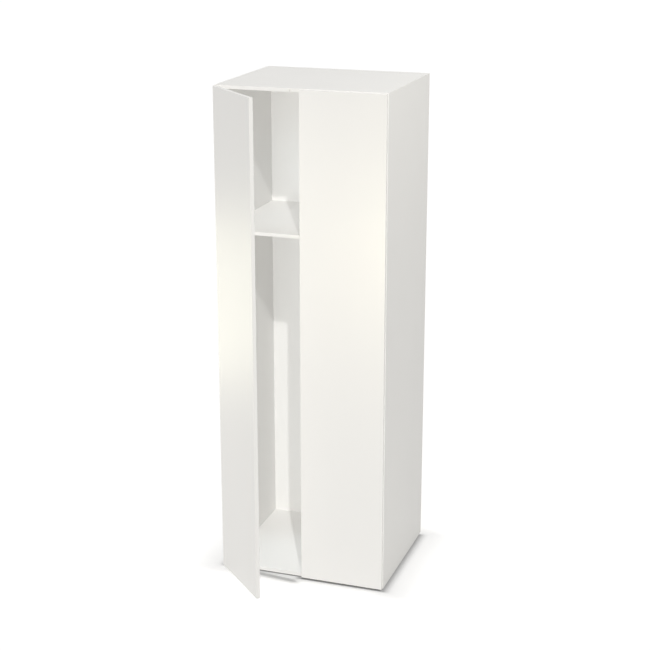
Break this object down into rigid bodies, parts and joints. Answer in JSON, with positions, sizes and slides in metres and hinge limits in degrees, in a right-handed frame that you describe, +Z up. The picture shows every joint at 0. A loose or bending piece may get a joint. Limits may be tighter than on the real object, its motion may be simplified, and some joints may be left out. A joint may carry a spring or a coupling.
{
  "type": "wardrobe",
  "caption": "Tall plain white wardrobe with handleless overlay doors on concealed hinges, a hat shelf above a clothes rail, and low feet.",
  "frame": {"origin": "on the floor, under the middle of the outline at rest, which takes in the door that stands ajar", "axes": "+Z up, the doors face -Y, +X to the right as seen from the front"},
  "size_m": [0.8022, 0.9524, 2.33],
  "materials": {
    "white_melamine": "satin white melamine on board",
    "white_lacquer": "satin white lacquer on board",
    "white_back_board": "white-faced thin board",
    "nickel_plated_steel": "nickel plated",
    "chromed_steel": "polished chrome",
    "zinc_plated_steel": "zinc plated",
    "white_plastic": "matte white",
    "dark_plastic": "matte dark"
  },
  "bodies": {
    "carcass": {"left_side_panel": "white_melamine", "right_side_panel": "white_melamine", "top_panel": "white_melamine", "bottom_panel": "white_melamine", "back_panel": "white_back_board", "hat_shelf": "white_melamine", "clothes_rail": "chromed_steel", "left_rail_socket": "zinc_plated_steel", "right_rail_socket": "zinc_plated_steel", "shelf_support_left_front": "zinc_plated_steel", "shelf_support_left_rear": "zinc_plated_steel", "shelf_support_right_front": "zinc_plated_steel", "shelf_support_right_rear": "zinc_plated_steel", "foot_front_left": "dark_plastic", "foot_front_right": "dark_plastic", "foot_rear_left": "dark_plastic", "foot_rear_right": "dark_plastic", "left_latch_housing": "white_plastic", "right_latch_housing": "white_plastic", "left_hinge_arm_1": "nickel_plated_steel", "left_hinge_arm_2": "nickel_plated_steel", "left_hinge_arm_3": "nickel_plated_steel", "left_hinge_arm_4": "nickel_plated_steel", "left_hinge_plate_1": "nickel_plated_steel", "left_hinge_plate_2": "nickel_plated_steel", "left_hinge_plate_3": "nickel_plated_steel", "left_hinge_plate_4": "nickel_plated_steel", "right_hinge_arm_1": "nickel_plated_steel", "right_hinge_arm_2": "nickel_plated_steel", "right_hinge_arm_3": "nickel_plated_steel", "right_hinge_arm_4": "nickel_plated_steel", "right_hinge_plate_1": "nickel_plated_steel", "right_hinge_plate_2": "nickel_plated_steel", "right_hinge_plate_3": "nickel_plated_steel", "right_hinge_plate_4": "nickel_plated_steel"},
    "left_door": {"left_door": "white_lacquer", "left_strike_pad": "zinc_plated_steel", "left_hinge_cup_1": "nickel_plated_steel", "left_hinge_cup_2": "nickel_plated_steel", "left_hinge_cup_3": "nickel_plated_steel", "left_hinge_cup_4": "nickel_plated_steel"},
    "right_door": {"right_door": "white_lacquer", "right_strike_pad": "zinc_plated_steel", "right_hinge_cup_1": "nickel_plated_steel", "right_hinge_cup_2": "nickel_plated_steel", "right_hinge_cup_3": "nickel_plated_steel", "right_hinge_cup_4": "nickel_plated_steel"},
    "left_hinge_links": {"left_hinge_link_1": "nickel_plated_steel", "left_hinge_link_2": "nickel_plated_steel", "left_hinge_link_3": "nickel_plated_steel", "left_hinge_link_4": "nickel_plated_steel"},
    "right_hinge_links": {"right_hinge_link_1": "nickel_plated_steel", "right_hinge_link_2": "nickel_plated_steel", "right_hinge_link_3": "nickel_plated_steel", "right_hinge_link_4": "nickel_plated_steel"},
    "left_latch_plunger": {"left_latch_plunger": "white_plastic"},
    "right_latch_plunger": {"right_latch_plunger": "white_plastic"}
  },
  "joints": [
    {"name": "left_door_hinge", "type": "hinge", "parent": "carcass", "child": "left_door", "pos_m": [-0.39194, -0.19579, 1.17], "axis": [0, 0, -1], "range_deg": [-44.65, 50.35]},
    {"name": "right_door_hinge", "type": "hinge", "parent": "carcass", "child": "right_door", "pos_m": [0.39406, -0.19579, 1.17], "axis": [0, 0, 1], "range_deg": [0, 95]},
    {"name": "left_hinge_links_turn", "type": "hinge", "parent": "carcass", "child": "left_hinge_links", "pos_m": [-0.38844, -0.19709, 1.17], "axis": [0, 0, -1], "range_deg": [-50.46, 56.91]},
    {"name": "right_hinge_links_turn", "type": "hinge", "parent": "carcass", "child": "right_hinge_links", "pos_m": [0.39056, -0.19709, 1.17], "axis": [0, 0, 1], "range_deg": [0, 107.36]},
    {"name": "left_latch_push", "type": "slide", "parent": "carcass", "child": "left_latch_plunger", "axis": [0, -1, 0], "range_m": [-0.00659, 0.00743]},
    {"name": "right_latch_push", "type": "slide", "parent": "carcass", "child": "right_latch_plunger", "axis": [0, -1, 0], "range_m": [0, 0.01401]}
  ],
  "couplings": [
    {"joint": "left_hinge_links_turn", "follows": "left_door_hinge", "ratio": 1.13},
    {"joint": "right_hinge_links_turn", "follows": "right_door_hinge", "ratio": 1.13},
    {"joint": "left_latch_push", "follows": "left_door_hinge", "m_per_rad": 0.0084436},
    {"joint": "right_latch_push", "follows": "right_door_hinge", "m_per_rad": 0.0084436}
  ]
}
